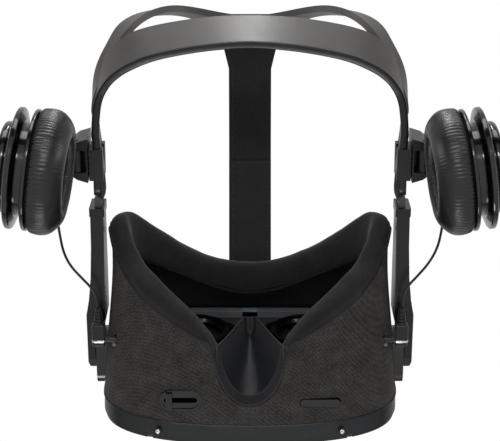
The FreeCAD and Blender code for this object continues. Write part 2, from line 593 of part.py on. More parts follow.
def make_cup(side, word):
    mirror = (lambda shape: shape) if side > 0 else mirrored
    flange = rounded_disc(-4.5, -2.2, CUP_RADIUS, 0.8)
    neck = disc(-2.2, 2.4, 26)
    base = flange.fuse(neck).cut(disc(-4.5, 0.6, 21.0))
    gland_turn = math.radians(60)
    gland_way = Vector(0, -math.cos(gland_turn), math.sin(gland_turn))
    gland = Part.makeCylinder(1.9, 5.5, gland_way * 31.0 + Vector(-3.35, 0, 0), gland_way)
    save("cup_base_" + word, mirror(cup_frame(base.fuse(gland))))
    rim = turned([(2.4, 28.0), (4.0, CUP_RADIUS - 0.8), (4.5, CUP_RADIUS - 0.2), (5.0, CUP_RADIUS),
                  (6.4, CUP_RADIUS), (6.9, CUP_RADIUS - 0.2), (7.3, CUP_RADIUS - 0.8), (8.6, 29.0)])
    cap = rounded_disc(8.6, 14.2, 25.4, 2.4)
    save("cup_cover_" + word, mirror(cup_frame(rim.fuse(cap))))
    holes = [rod((-6, 11 * math.cos(turn), 11 * math.sin(turn)), X_AXIS, 2.6, 4)
             for turn in [math.radians(60 * step) for step in range(6)]]
    baffle = disc(-5.6, -4.5, 29.0).cut(holes)
    save("cup_baffle_" + word, mirror(cup_frame(baffle)))
    cushion = disc(-5.6 - CUSHION_THICK, -5.6, CUSHION_RADIUS).cut(disc(-40, 0, CUSHION_HOLE))
    round_edges = [edge for edge in cushion.Edges if edge.Closed and edge.Curve.Radius > 30]
    save("ear_cushion_" + word, mirror(cup_frame(cushion.makeFillet(8.0, round_edges))))
    driver = disc(-3.9, 0.0, 18).fuse(disc(-4.4, -3.9, 20))
    save("driver_" + word, mirror(cup_frame(driver)))
    make_bracket(word, mirror)


def make_bracket(word, mirror):
    """The short arm from the swing pin to the top of the cup's flange."""
    x, z = SWING_AXIS
    knuckle = rod((x, 59.2, z), Y_AXIS, 4.0, 12.6)
    strut = slab([(x - 1, 60, z + 3.8), (113, 60, z + 3.4), (124.4, 60, z - 4.0), (124.4, 60, z - 15),
                  (119.6, 60, z - 11), (112, 60, z - 3.0), (x, 60, z - 1.5)], (0, 11, 0))
    seat = cup_frame(disc(-2.1, 2.3, 37).common(box((-3, 3), (-14, -3), (24, 38))).cut(disc(-3, 3, 26.1)))
    arm = knuckle.fuse([strut.cut(cup_frame(disc(-40, -2.1, 37))), seat])
    arm = arm.cut(cup_frame(disc(2.3, 20, CUP_RADIUS + 1)))
    arm = arm.cut(cup_frame(disc(-3, 3, 26.1)))
    arm = arm.cut(rod((x, 50, z), Y_AXIS, SWING_PIN_RADIUS + PIN_RUNNING_GAP, 30))
    save("cup_bracket_" + word, mirror(arm))


# ---- leads ------------------------------------------------------------------------------
def lead(route, word):
    """A thin lead: straight runs joined by tangent arcs, each as large as its runs allow."""
    points = [Vector(*point) for point in route]
    edges = []
    start = points[0]
    radii = []
    length = 0.0
    for before, corner, after in zip(points, points[1:], points[2:]):
        into = corner - before
        out = after - corner
        cut = 0.45 * min(into.Length, out.Length)
        turn = into.getAngle(out)
        radii.append(cut / math.tan(turn / 2))
        into.normalize()
        out.normalize()
        arc_start = corner - into * cut
        arc_end = corner + out * cut
        bisector = out - into
        bisector.normalize()
        centre = corner + bisector * (radii[-1] / math.cos(turn / 2))
        towards = corner - centre
        towards.normalize()
        edges.append(Part.makeLine(start, arc_start))
        edges.append(Part.Arc(arc_start, centre + towards * radii[-1], arc_end).toShape())
        length += (arc_start - start).Length + radii[-1] * turn
        start = arc_end
    edges.append(Part.makeLine(start, points[-1]))
    length += (points[-1] - start).Length
    ring = Part.Wire(Part.makeCircle(LEAD_RADIUS, points[0], points[1] - points[0]))
    tube = Part.Wire(edges).makePipeShell([ring], True, False, 2)
    expected = math.pi * LEAD_RADIUS ** 2 * length
    print(f"lead_{word}: length {length:.1f}, volume ratio {tube.Volume / expected:.4f}, radii",
          " ".join(f"{radius:.1f}" for radius in radii))
    save("lead_" + word, tube)


def main():
    os.makedirs("parts", exist_ok=True)
    make_visor()
    make_face_parts()
    make_lens_panel()
    make_cameras()
    make_electronics()
    make_pinion()
    make_eye(1, "left")
    make_eye(-1, "right")
    make_controls()
    make_jacks_and_plugs()
    make_arms()
    band = make_rear_band()
    make_top_strap(band)
    make_clips(band)
    make_blocks()
    make_cup(1, "left")
    make_cup(-1, "right")
    lead(LEAD_LEFT, "left")
    lead(LEAD_RIGHT, "right")


main()
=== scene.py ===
# %% [markdown]
# # A head-worn display with clip-on headphones
# The mechanical parts come from the imported frame, in metres, and keep their places. Blender adds what
# CAD is poor at: knitted foam, leather cushions, webbing, thin leads and finishes.

# %% Load the frame
import math
import bpy
from mathutils import Matrix, Vector, noise


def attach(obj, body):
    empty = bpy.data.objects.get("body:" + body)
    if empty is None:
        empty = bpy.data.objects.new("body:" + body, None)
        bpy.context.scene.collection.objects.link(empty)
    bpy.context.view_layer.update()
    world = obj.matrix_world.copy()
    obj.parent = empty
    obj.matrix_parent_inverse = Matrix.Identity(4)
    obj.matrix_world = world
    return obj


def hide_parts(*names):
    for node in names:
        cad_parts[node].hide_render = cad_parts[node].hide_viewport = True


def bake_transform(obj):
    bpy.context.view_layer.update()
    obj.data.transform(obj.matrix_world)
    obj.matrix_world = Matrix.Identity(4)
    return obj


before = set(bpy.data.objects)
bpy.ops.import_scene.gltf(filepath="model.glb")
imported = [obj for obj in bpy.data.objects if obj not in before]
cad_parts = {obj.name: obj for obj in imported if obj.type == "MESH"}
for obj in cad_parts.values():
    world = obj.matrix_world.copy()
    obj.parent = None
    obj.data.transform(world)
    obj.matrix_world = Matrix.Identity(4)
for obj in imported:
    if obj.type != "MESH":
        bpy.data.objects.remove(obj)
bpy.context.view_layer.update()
MM = 0.001
SCENE = bpy.context.scene

# %% [markdown]
# ## Camera
# The headset is looked at from below and behind, as if lying on its back over the lens. A long lens,
# nearly a metre away, keeps the visor and the rear band at almost the same scale.

# %% Camera
VIEW_TILT = math.radians(71.0)
CAMERA_PLACE = (0.0, 0.3377, -0.9068)
SENSOR_WIDTH = 36.0
LENS_LENGTH = 116.28
camera_data = bpy.data.cameras.new("Camera")
camera_data.sensor_width = SENSOR_WIDTH
camera_data.lens = LENS_LENGTH
camera = bpy.data.objects.new("Camera", camera_data)
view_way = Vector((0.0, -math.cos(VIEW_TILT), math.sin(VIEW_TILT)))
view_up = Vector((0.0, math.sin(VIEW_TILT), math.cos(VIEW_TILT)))
view_right = view_way.cross(view_up)
camera.matrix_world = Matrix.Translation(CAMERA_PLACE) @ Matrix(
    (view_right, view_up, -view_way)).transposed().to_4x4()
SCENE.collection.objects.link(camera)
SCENE.camera = camera
SCENE.view_settings.view_transform = "Standard"
print("camera looks along", tuple(round(value, 3) for value in view_way))

# %% [markdown]
# ## Helpers for finishes
# A finish is a tree of shader nodes. One function adds a node with its settings and links, one turns a
# hex colour to linear light, and one turns a real size in millimetres to a noise scale.


# %% Node, colour and scale
def add(tree, kind, settings=None, links=None):
    """Adds one node, sets its properties and sockets, and links its inputs."""
    node = tree.nodes.new(kind)
    for key, value in (settings or {}).items():
        if isinstance(key, str) and hasattr(node, key):
            setattr(node, key, value)
        else:
            node.inputs[key].default_value = value
    for key, source in (links or {}).items():
        tree.links.new(source, node.inputs[key])
    return node


def linear(hex_colour):
    """An sRGB hex colour as linear red, green, blue, alpha."""
    parts = [int(hex_colour[start:start + 2], 16) / 255 for start in (1, 3, 5)]
    return tuple(part / 12.92 if part <= 0.04045 else ((part + 0.055) / 1.055) ** 2.4
                 for part in parts) + (1.0,)


def per_mm(size):
    """A noise scale whose features are this many millimetres apart."""
    return 1000.0 / size


# %% [markdown]
# ## Finishes
# Each finish starts from a Principled shader with typical values for its material. Two textures do most
# of the work: a slow mottle that varies the colour and gloss as real surfaces do, and a fine grain that
# tilts the normal. Cloths swap the grain for the bumps where their threads cross.


# %% Base finish
def start_finish(name, roughness, ior=1.5, metallic=0.0, coat=0.0, coat_roughness=0.1, sheen=0.0):
    """A new finish, with its node tree, its shader and the object coordinates for its textures."""
    finish = bpy.data.materials.new(name)
    finish.use_nodes = True
    tree = finish.node_tree
    shader = tree.nodes["Principled BSDF"]
    for key, value in (("Roughness", roughness), ("IOR", ior), ("Metallic", metallic),
                       ("Coat Weight", coat), ("Coat Roughness", coat_roughness),
                       ("Sheen Weight", sheen)):
        shader.inputs[key].default_value = value
    place = add(tree, "ShaderNodeTexCoord").outputs["Object"]
    return finish, tree, shader, place


def mottle(tree, shader, place, dark, light, size):
    """Slow uneven colour between two hex values, with patches of this many millimetres."""
    patches = add(tree, "ShaderNodeTexNoise", {"Scale": per_mm(size), "Detail": 4.0}, {"Vector": place})
    ramp = add(tree, "ShaderNodeValToRGB", links={"Fac": patches.outputs["Fac"]})
    ramp.color_ramp.elements[0].position = 0.35
    ramp.color_ramp.elements[1].position = 0.65
    ramp.color_ramp.elements[0].color = linear(dark)
    ramp.color_ramp.elements[1].color = linear(light)
    tree.links.new(ramp.outputs["Color"], shader.inputs["Base Color"])


def uneven_gloss(tree, shader, place, low, high, size):
    """Roughness that drifts between two values, with patches of this many millimetres."""
    patches = add(tree, "ShaderNodeTexNoise", {"Scale": per_mm(size), "Detail": 3.0}, {"Vector": place})
    spread = add(tree, "ShaderNodeMapRange", {"To Min": low, "To Max": high},
                 {"Value": patches.outputs["Fac"]})
    tree.links.new(spread.outputs["Result"], shader.inputs["Roughness"])


def grain(tree, shader, place, size, depth):
    """A moulded texture: bumps of this size and depth in millimetres."""
    bumps = add(tree, "ShaderNodeTexNoise", {"Scale": per_mm(size), "Detail": 2.0}, {"Vector": place})
    relief = add(tree, "ShaderNodeBump", {"Strength": 0.4, "Distance": depth * MM},
                 {"Height": bumps.outputs["Fac"]})
    tree.links.new(relief.outputs["Normal"], shader.inputs["Normal"])


# %% [markdown]
# The housings are injection-moulded ABS. Fine spark-eroded texture scatters the light a little, while
# polished areas keep a sharp reflection under a thin clear skin.

# %% Moulded plastics
def moulded_abs(name, dark, light, rough_low, rough_high, grain_size, depth, coat=0.0):
    """Moulded ABS between two colours and two roughnesses, with its grain in millimetres."""
    finish, tree, shader, place = start_finish(name, rough_low, ior=1.53, coat=coat, coat_roughness=0.08)
    mottle(tree, shader, place, dark, light, 14.0)
    uneven_gloss(tree, shader, place, rough_low, rough_high, 9.0)
    grain(tree, shader, place, grain_size, depth)
    return finish


RIM_ABS = moulded_abs("satin_moulded_abs_rim", "#101416", "#161b1d", 0.34, 0.44, 0.9, 0.05)
PLATE_ABS = moulded_abs("satin_moulded_abs_plate", "#101112", "#161718", 0.36, 0.46, 0.8, 0.04)
INNER_ABS = moulded_abs("textured_abs_inner", "#070708", "#0d0d0e", 0.5, 0.62, 0.7, 0.06)
GREY_BAR_ABS = moulded_abs("satin_abs_grey_bar", "#5a5c60", "#66686c", 0.32, 0.4, 0.8, 0.03)
GLOSS_ABS = moulded_abs("polished_black_abs", "#050506", "#0a0a0b", 0.12, 0.2, 1.5, 0.01, coat=0.5)
ARM_ABS = moulded_abs("semi_gloss_abs_arm", "#040405", "#09090a", 0.22, 0.3, 0.8, 0.02)
BLOCK_ABS = moulded_abs("satin_moulded_abs_block", "#08080a", "#0f1011", 0.3, 0.4, 0.7, 0.05)
CLIP_ABS = moulded_abs("satin_moulded_abs_clip", "#101112", "#18191a", 0.36, 0.46, 0.7, 0.05)
BAND_ABS = moulded_abs("soft_touch_abs_band", "#45433f", "#4b4946", 0.34, 0.42, 0.6, 0.04)
# Black ABS: painted shade on the band's lower edge, and the black of the rim groove and the screw seats.
BLACK_ABS_SHADE_GROOVE_SEATS = moulded_abs("black_abs_shade_groove_seats", "#070708", "#0c0c0d", 0.28, 0.36, 0.8, 0.02)
LED_PIPE = moulded_abs("clear_abs_light_pipe", "#b9bcbd", "#d8dadb", 0.2, 0.3, 1.0, 0.01)
GEAR_ACETAL = moulded_abs("moulded_acetal_gear", "#c9c6bb", "#dad7cc", 0.35, 0.45, 0.8, 0.02)


# %% [markdown]
# Metals keep the default IOR: turned steel for the pins and sockets, a bright plate for the rim screws and
# plug rings, and foil on the battery.

# %% Metals
def metal(name, dark, light, rough, size):
    """Bare metal with its default IOR, whose gloss drifts over patches of this many millimetres."""
    finish, tree, shader, place = start_finish(name, rough, metallic=1.0)
    mottle(tree, shader, place, dark, light, size)
    uneven_gloss(tree, shader, place, rough - 0.08, rough + 0.1, size / 2)
    return finish


TURNED_STEEL = metal("turned_steel", "#8f9193", "#b4b6b8", 0.28, 3.0)
BRIGHT_PLATE = metal("bright_nickel_plate", "#e4e6e8", "#f4f5f6", 0.2, 3.0)
CELL_FOIL = metal("laminated_foil", "#a7a8a9", "#c9cacb", 0.42, 8.0)


# %% [markdown]
# Cloth. The wrap is a woven polyester, bonded to the shell, dark and warm, with pale flecks where two
# threads cross. The face foam is covered in a fine knit that scatters light softly at its edges, so it
# has sheen. The straps are dense webbing. Real threads were taken to be about 0.4 mm apart, which is finer
# than a render shows, so they are drawn coarser, at 0.5 to 1.3 mm.

# %% Cloths
def woven_cloth(name, dark, light, thread, depth, rough, sheen, fleck=0.5):
    """Rows of slightly uneven thread crossings, pale where a thread comes to the top."""
    finish, tree, shader, place = start_finish(name, rough, ior=1.42, sheen=sheen)
    shader.inputs["Sheen Roughness"].default_value = 0.6
    turned = add(tree, "ShaderNodeMapping", {"Rotation": (0.5, 0.35, math.radians(45))}, {"Vector": place})
    crossings = add(tree, "ShaderNodeTexVoronoi", {"Scale": per_mm(thread), "Randomness": 0.35},
                    {"Vector": turned.outputs["Vector"]})
    bump = add(tree, "ShaderNodeMapRange", {"From Min": 0.15, "From Max": 0.6, "To Min": 1.0, "To Max": 0.0},
               {"Value": crossings.outputs["Distance"]})
    patches = add(tree, "ShaderNodeTexNoise", {"Scale": per_mm(9.0), "Detail": 6.0}, {"Vector": place})
    weight = add(tree, "ShaderNodeMath", {"operation": "MULTIPLY", 1: fleck}, {0: bump.outputs["Result"]})
    fade = add(tree, "ShaderNodeMath", {"operation": "MULTIPLY_ADD", 1: 0.7},
               {0: patches.outputs["Fac"], 2: weight.outputs[0]})
    ramp = add(tree, "ShaderNodeMapRange", {"From Min": 0.25, "From Max": 0.9}, {"Value": fade.outputs[0]})
    blend = add(tree, "ShaderNodeMix", {"data_type": "RGBA"}, {0: ramp.outputs["Result"]})
    blend.inputs[6].default_value = linear(dark)
    blend.inputs[7].default_value = linear(light)
    tree.links.new(blend.outputs[2], shader.inputs["Base Color"])
    relief = add(tree, "ShaderNodeBump", {"Strength": 0.5, "Distance": depth * MM},
                 {"Height": bump.outputs["Result"]})
    tree.links.new(relief.outputs["Normal"], shader.inputs["Normal"])
    return finish


WRAP_POLYESTER = woven_cloth("woven_polyester_wrap", "#1d1b1a", "#46423f", 1.3, 0.14, 0.85, 0.05)
FOAM_KNIT = woven_cloth("knitted_cover_foam", "#0f0d0f", "#2a252a", 0.9, 0.1, 0.92, 0.12, fleck=0.35)
FOAM_WELT = woven_cloth("knitted_welt", "#151315", "#343034", 0.8, 0.08, 0.75, 0.1, fleck=0.35)
STRAP_WEB = woven_cloth("woven_elastic_strap", "#08090a", "#1a1b1d", 0.9, 0.1, 0.7, 0.08)
STRAP_THREAD = woven_cloth("bonded_nylon_thread", "#17181a", "#2b2c2f", 0.5, 0.05, 0.5, 0.1)
BAFFLE_CLOTH = woven_cloth("acoustic_mesh", "#050505", "#161616", 1.0, 0.15, 0.85, 0.05)


# %% [markdown]
# The ear cushions wear imitation leather, a polyurethane skin on cloth: smooth, slightly glossy, with
# shallow creases. Voronoi cells give its pores, and a noise its creases.

# %% Leather, rubber and glass
def leatherette(name):
    """Imitation leather with pores and shallow creases."""
    finish, tree, shader, place = start_finish(name, 0.34, ior=1.5, coat=0.35, coat_roughness=0.35)
    mottle(tree, shader, place, "#0c0c0d", "#151516", 12.0)
    uneven_gloss(tree, shader, place, 0.3, 0.46, 6.0)
    pores = add(tree, "ShaderNodeTexVoronoi", {"Scale": per_mm(0.9)}, {"Vector": place})
    creases = add(tree, "ShaderNodeTexNoise", {"Scale": per_mm(5.0), "Detail": 6.0}, {"Vector": place})
    both = add(tree, "ShaderNodeMath", {"operation": "MULTIPLY_ADD", 1: 0.25},
               {0: pores.outputs["Distance"]})
    tree.links.new(creases.outputs["Fac"], both.inputs[2])
    relief = add(tree, "ShaderNodeBump", {"Strength": 0.35, "Distance": 0.4 * MM},
                 {"Height": both.outputs[0]})
    tree.links.new(relief.outputs["Normal"], shader.inputs["Normal"])
    return finish


def moulded_rubber(name, dark, light, rough, size):
    """Silicone or TPE with a fine grain and colour patches of this many millimetres."""
    finish, tree, shader, place = start_finish(name, rough, ior=1.52, sheen=0.1)
    mottle(tree, shader, place, dark, light, size)
    uneven_gloss(tree, shader, place, rough - 0.08, rough + 0.08, 5.0)
    grain(tree, shader, place, 0.8, 0.08)
    return finish


def polished_glass(name, tint, alpha):
    """A clear or smoked window of one tint under a sharp coat."""
    finish, tree, shader, place = start_finish(name, 0.03, ior=1.52, coat=1.0, coat_roughness=0.02)
    mottle(tree, shader, place, tint, tint, 20.0)
    shader.inputs["Alpha"].default_value = alpha
    return finish


CUSHION_LEATHER = leatherette("polyurethane_leather")
NOSE_RUBBER = moulded_rubber("moulded_silicone_nose", "#0e1015", "#171a21", 0.42, 1.6)
LEAD_RUBBER = moulded_rubber("extruded_tpe_lead", "#050506", "#0a0a0b", 0.35, 3.0)
PLUG_RUBBER = moulded_rubber("moulded_tpe_plug", "#08090a", "#0e0f10", 0.3, 4.0)
LENS_ACRYLIC = polished_glass("polished_acrylic_lens", "#1c2026", 0.8)
SENSOR_GLASS = polished_glass("smoked_sensor_glass", "#6f8088", 1.0)
CAMERA_GLASS = polished_glass("polished_camera_glass", "#0a0c10", 1.0)
DISPLAY_GLASS = polished_glass("display_glass", "#08080a", 1.0)
BOARD_RESIST = moulded_abs("solder_resist_board", "#0d3a22", "#12482b", 0.35, 0.45, 0.8, 0.02)
print("materials in the file:", len(bpy.data.materials))

# %% [markdown]
# ## Finishes on the parts from the frame
# A part whose shape is already right keeps its mesh and only takes a finish.

# %% Assign finishes
FINISH_OF = {
    "front_plate": PLATE_ABS, "front_rim": RIM_ABS, "fabric_wrap": WRAP_POLYESTER,
    "visor_shell": INNER_ABS, "face_frame": INNER_ABS, "lens_panel": INNER_ABS,
    "sensor_bar": GREY_BAR_ABS, "tracking_cameras": GLOSS_ABS, "camera_windows": CAMERA_GLASS,
    "main_board": BOARD_RESIST, "battery": CELL_FOIL, "fan_housing": INNER_ABS,
    "fan_rotor": INNER_ABS, "pinion_post": TURNED_STEEL, "ipd_pinion": GEAR_ACETAL,
    "ipd_track": GLOSS_ABS, "ipd_knob": GLOSS_ABS, "volume_rocker": GLOSS_ABS,
    "power_button": GLOSS_ABS, "usb_port": TURNED_STEEL, "status_led": LED_PIPE,
    "jack_sockets": TURNED_STEEL, "shell_screws": TURNED_STEEL, "pivot_mounts": GLOSS_ABS,
    "pivot_pins": TURNED_STEEL, "swing_pins": TURNED_STEEL, "strap_anchor": RIM_ABS,
    "arm_left": ARM_ABS, "arm_right": ARM_ABS, "arm_speakers": BLOCK_ABS, "arm_collars": ARM_ABS,
    "headphone_clips": CLIP_ABS, "hinge_blocks": BLOCK_ABS, "rear_band": BAND_ABS,
    "face_foam": FOAM_KNIT, "nose_flap": NOSE_RUBBER, "top_strap_front": STRAP_WEB,
    "top_strap_rear": STRAP_WEB}
for word in ("left", "right"):
    FINISH_OF.update({
        "plug_" + word: PLUG_RUBBER, "lead_" + word: LEAD_RUBBER, "lens_ring_" + word: GLOSS_ABS,
        "lens_" + word: LENS_ACRYLIC, "display_" + word: DISPLAY_GLASS,
        "cup_bracket_" + word: BLOCK_ABS, "cup_base_" + word: GLOSS_ABS,
        "cup_cover_" + word: GLOSS_ABS, "cup_baffle_" + word: BAFFLE_CLOTH,
        "ear_cushion_" + word: CUSHION_LEATHER, "driver_" + word: BLOCK_ABS})
for node_name, finish in FINISH_OF.items():
    part_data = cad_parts[node_name].data
    part_data.materials.clear()
    part_data.materials.append(finish)
print("finishes set on", len(FINISH_OF), "nodes")

# %% [markdown]
# ## Helpers for soft pieces
# Most soft pieces here are rows of rings, because a ring is easy to shape and a closed row of them leaves
# no stray faces. One function skins the rings with quads, and one makes the mesh with its finish.


# %% Meshes from rings
def mesh_piece(name, points, faces, finish, body=None, smooth=True):
    """A mesh object from points in millimetres, riding on a body."""
    data = bpy.data.meshes.new(name)
    data.from_pydata([tuple(value * MM for value in point) for point in points], [], faces)
    data.validate()
    data.update()
    for polygon in data.polygons:
        polygon.use_smooth = smooth
    piece = bpy.data.objects.new(name, data)
    SCENE.collection.objects.link(piece)
    data.materials.append(finish)
    if body:
        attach(piece, body)
    return piece


def skin(rings, closed_path=False, caps=True):
    """Quads over a list of equal rings of points, closed round each ring."""
    count = len(rings[0])
    points = [point for ring in rings for point in ring]
    faces = []
    last = len(rings) if closed_path else len(rings) - 1
    for row in range(last):
        here, there = row * count, (row + 1) % len(rings) * count
        for step in range(count):
            after = (step + 1) % count
            faces.append((here + step, here + after, there + after, there + step))
    if caps and not closed_path:
        faces.append(tuple(reversed(range(count))))
        faces.append(tuple(range(len(points) - count, len(points))))
    return points, faces


def flip_outward(piece):
    """Turns every face of a closed piece to look out."""
    bpy.context.view_layer.objects.active = piece
    bpy.ops.object.select_all(action="DESELECT")
    piece.select_set(True)
    bpy.ops.object.mode_set(mode="EDIT")
    bpy.ops.mesh.select_all(action="SELECT")
    bpy.ops.mesh.normals_make_consistent(inside=False)
    bpy.ops.object.mode_set(mode="OBJECT")


# %% [markdown]
# A few given points, and a Catmull-Rom curve through them, give a smooth path or profile. Thin
# beads and leads are round sections set along such a path.


# %% Smooth paths and round sections
def smooth_path(points, steps, closed=False):
    """Points of a Catmull-Rom curve through the given tuples of any length."""
    count = len(points)
    result = []
    spans = count if closed else count - 1
    for span in range(spans):
        if closed:
            a, b, c, d = (points[(span + shift - 1) % count] for shift in range(4))
        else:
            b, c = points[span], points[span + 1]
            a = points[span - 1] if span else tuple(2 * p - q for p, q in zip(b, c))
            d = points[span + 2] if span + 2 < count else tuple(2 * q - p for p, q in zip(b, c))
        for step in range(steps):
            t = step / steps
            result.append(tuple(
                0.5 * (2 * q + (r - p) * t + (2 * p - 5 * q + 4 * r - s) * t * t
                       + (3 * q - p - 3 * r + s) * t ** 3)
                for p, q, r, s in zip(a, b, c, d)))
    if not closed:
        result.append(tuple(points[-1]))
    return result


def round_section(place, side, other, radius, sides=8):
    """A ring of points round a place, in the plane of two directions."""
    turns = [2 * math.pi * step / sides for step in range(sides)]
    return [tuple(place + radius * (side * math.cos(turn) + other * math.sin(turn))) for turn in turns]


def squared_off(value, power):
    """A cosine or sine pushed towards 1 or -1, which turns a circle into a rounded rectangle."""
    return math.copysign(abs(value) ** power, value)


# %% [markdown]
# ## The face foam
# The part that touches the face is one ring of slow foam in a knitted cover, deep beside the temples
# and thin over the nose. It could be a swept tube, but its width and depth change all the way round,
# so it is a closed row of cross-sections, each from an outer point to an inner point with a domed back.

# %% Lip that the foam sits on
LIP_LINE = ((0, -35.0), (15, -33.0), (29, -27.5), (48, -17.5), (60, -10.7), (74, -0.5), (80.5, 7.0),
            (84.9, 20.5))


def along_line(line, value):
    """The second number of a line of pairs at this first number."""
    for (a, before), (b, after) in zip(line, line[1:]):
        if value <= b:
            return before + (after - before) * (max(value, a) - a) / (b - a)
    return line[-1][1]


def lip_y(x, z):
    """How far back the visor's lip stands at this place."""
    return along_line(LIP_LINE, abs(x)) + 0.1 * z


# %% [markdown]
# Half of the ring, from the brow round the cheek to the nose: outer point, inner point, and how far
# back the crest of the foam reaches there.

# %% Stations round the face
FOAM_HALF = [(x, lip_y(x, z), z, u, lip_y(u, w), w, crest) for x, z, u, w, crest in (
    (0, 46.5, 0, 32, -15.7), (20, 46.2, 19, 31.5, -13.2), (41, 43.6, 36, 29, -4), (53, 40.5, 46, 26.5, 4.1),
    (62.4, 35.5, 54, 23.5, 11.5), (70, 29.5, 62, 19.5, 19), (76, 22.5, 67, 15.5, 24.4),
    (81.5, 14.5, 70, 11, 26.2), (84, 8, 70.5, 7, 26), (83.2, 1.5, 69.5, 3, 22.4),
    (80.2, -5, 67, -1.5, 15.6), (74.2, -16, 60, -9.5, 4.4), (66.1, -27, 52, -18, -0.8),
    (60, -33.5, 47, -22, -5), (48.2, -41, 39.5, -27, -11.4), (37.9, -44.3, 32, -31.5, -18),
    (29.2, -46.6, 25.4, -36, -25.6), (24.4, -47.6, 20.6, -40.5, -31.4))]
FOAM_HALF += [(21.2, -43.0, -48.6, 17.6, -43.0, -44.5, -39.2),
              (18.6, -52.6, -49.2, 15.0, -51.6, -45.8, -49.2),
              (13.4, -63.2, -49.8, 10.6, -60.8, -46.4, -58.8), (6.4, -69.4, -50.0, 5.0, -66.2, -46.8, -64.6),
              (0, -71.0, -50.0, 0, -67.6, -46.8, -66.2)]
foam_loop = FOAM_HALF + [(-x, y, z, -u, v, w, crest)
                         for x, y, z, u, v, w, crest in reversed(FOAM_HALF[1:-1])]
foam_stations = smooth_path(foam_loop, 7, closed=True)
print("foam stations round the face:", len(foam_stations))

# %% [markdown]
# The cross-section is a flattened dome. It has a shallow groove beside the welt, and slow noise makes it
# uneven as stuffed foam is. Both fade where the foam is thin.

# %% Foam cross-section
DOME_POWER = 2.6           # a higher power gives a squarer back
DOME_STEPS = 32
BASE_STEPS = 6
LEAST_HEIGHT = 1.2
FULL_HEIGHT = 8.0          # thinner foam than this has a shallower groove and smaller lumps
GROOVE_DEPTH = 0.165       # of the foam's height, beside the welt
GROOVE_PLACE = 0.075       # of the way from the outer edge to the inner one
GROOVE_WIDTH = 0.018


def foam_ring(station):
    """One cross-section: a domed back that rises to the crest, a groove by the welt, a flat base."""
    outer, inner, crest = Vector(station[:3]), Vector(station[3:6]), station[6]
    ring = []
    for step in range(DOME_STEPS + 1):
        share = 0.5 - 0.5 * math.cos(math.pi * step / DOME_STEPS)
        dome = (1 - abs(2 * share - 1) ** DOME_POWER) ** (1 / DOME_POWER)
        place = outer.lerp(inner, share)
        height = max(crest - place.y, LEAST_HEIGHT)
        detail = min(1.0, height / FULL_HEIGHT)
        groove = GROOVE_DEPTH * math.exp(-((share - GROOVE_PLACE) / GROOVE_WIDTH) ** 2) * detail
        lumps = (0.4 * noise.noise(place / 15.0) + 0.2 * noise.noise(place / 5.0)) * detail
        ring.append((place.x, place.y + height * dome * (1 - groove) + lumps * dome, place.z))
    for step in range(1, BASE_STEPS):
        place = inner.lerp(outer, step / BASE_STEPS)
        ring.append((place.x, place.y - 0.8 * math.sin(math.pi * step / BASE_STEPS), place.z))
    return ring


# %% [markdown]
# The ring is skinned, given the knit, and stands for the plain foam solid.

# %% Face foam mesh
points, faces = skin([foam_ring(station) for station in foam_stations], closed_path=True)
foam_cover = mesh_piece("face_foam_cover", points, faces, FOAM_KNIT, "visor")
flip_outward(foam_cover)
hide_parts("face_foam")
print("foam ring", len(points), "points")

# %% [markdown]
# A thin corded welt closes the joint between the foam's cover and the wrap. It follows the foam's outer
# edge, and it stands a little proud so that it catches the light as one continuous line.

# %% Foam welt
WELT_RADIUS = 0.75
welt_path = [Vector(station[:3]) for station in foam_stations]
welt_rings = []
for index, place in enumerate(welt_path):
    way = (welt_path[(index + 1) % len(welt_path)] - welt_path[index - 1]).normalized()
    side = way.cross(Vector((0, 1, 0))).normalized()
    welt_rings.append(round_section(place, side, way.cross(side), WELT_RADIUS))
welt = mesh_piece("face_foam_welt", *skin(welt_rings, closed_path=True), FOAM_WELT, "visor")
flip_outward(welt)
print("welt rings", len(welt_rings))

# %% [markdown]
# ## The nose flap
# A thin silicone scoop closes the gap round the nose and keeps light out. It is narrow between the
# lenses, wide at the visor's underside, and ends in a rolled edge. Rings at each level run along the
# scoop's inside and back along its outside, which gives the sheet its real thickness.

# %% Nose flap
UNDERSIDE = ((-82, -50.8), (-55, -49.8), (-28, -46.6))
FLAP_SEAT_Y = -40.0
FLAP_TOP_Z = -2.0
FLAP_TOP_SIZE = (2.5, 6.5)      # half width, then reach forward
FLAP_FOOT_Z = -60.0
FLAP_FOOT_SIZE = (24.0, 36.0)
FLAP_INSIDE = 0.1               # the sheet's two faces, measured outwards from the space for the nose
FLAP_OUTSIDE = 1.15


def flap_point(turn, level, margin, narrow=1.0):
    """A point of the scoop: turn in degrees round it, level from 0 at the top to 1 at the bottom."""
    z = FLAP_TOP_Z - 48.0 * level
    for _ in range(3):  # height and reach depend on each other, and three passes settle them
        rise = (z - FLAP_FOOT_Z) / (FLAP_TOP_Z - FLAP_FOOT_Z)
        wide, deep = (foot + (top - foot) * rise for foot, top in zip(FLAP_FOOT_SIZE, FLAP_TOP_SIZE))
        wide, deep = wide * narrow + margin, deep + margin
        bend = math.radians(max(-90, min(90, turn)))
        back = max(0.0, abs(turn) - 90) / 20
        x = wide * math.sin(bend)
        y = FLAP_SEAT_Y - deep * math.cos(bend) + back * (lip_y(x, z) - FLAP_SEAT_Y - 0.2)
        z = FLAP_TOP_Z + level * (along_line(UNDERSIDE, y) - FLAP_TOP_Z + 0.3)
    fold = 0.35 * noise.noise(Vector((x / 6, y / 6, z / 22))) * math.sin(math.pi * min(level * 1.3, 1))
    return (x, y + fold, z)


def flap_ring(level, narrow=1.0):
    """The sheet at one level: along its inside, then back along its outside."""
    turns = [-110 + 5 * step for step in range(45)]
    roll = 0.7 * max(0.0, (level - 0.95) / 0.05)
    inside = [flap_point(turn, level, FLAP_INSIDE - roll, narrow) for turn in turns]
    outside = [flap_point(turn, level, FLAP_OUTSIDE, narrow) for turn in reversed(turns)]
    return inside + outside


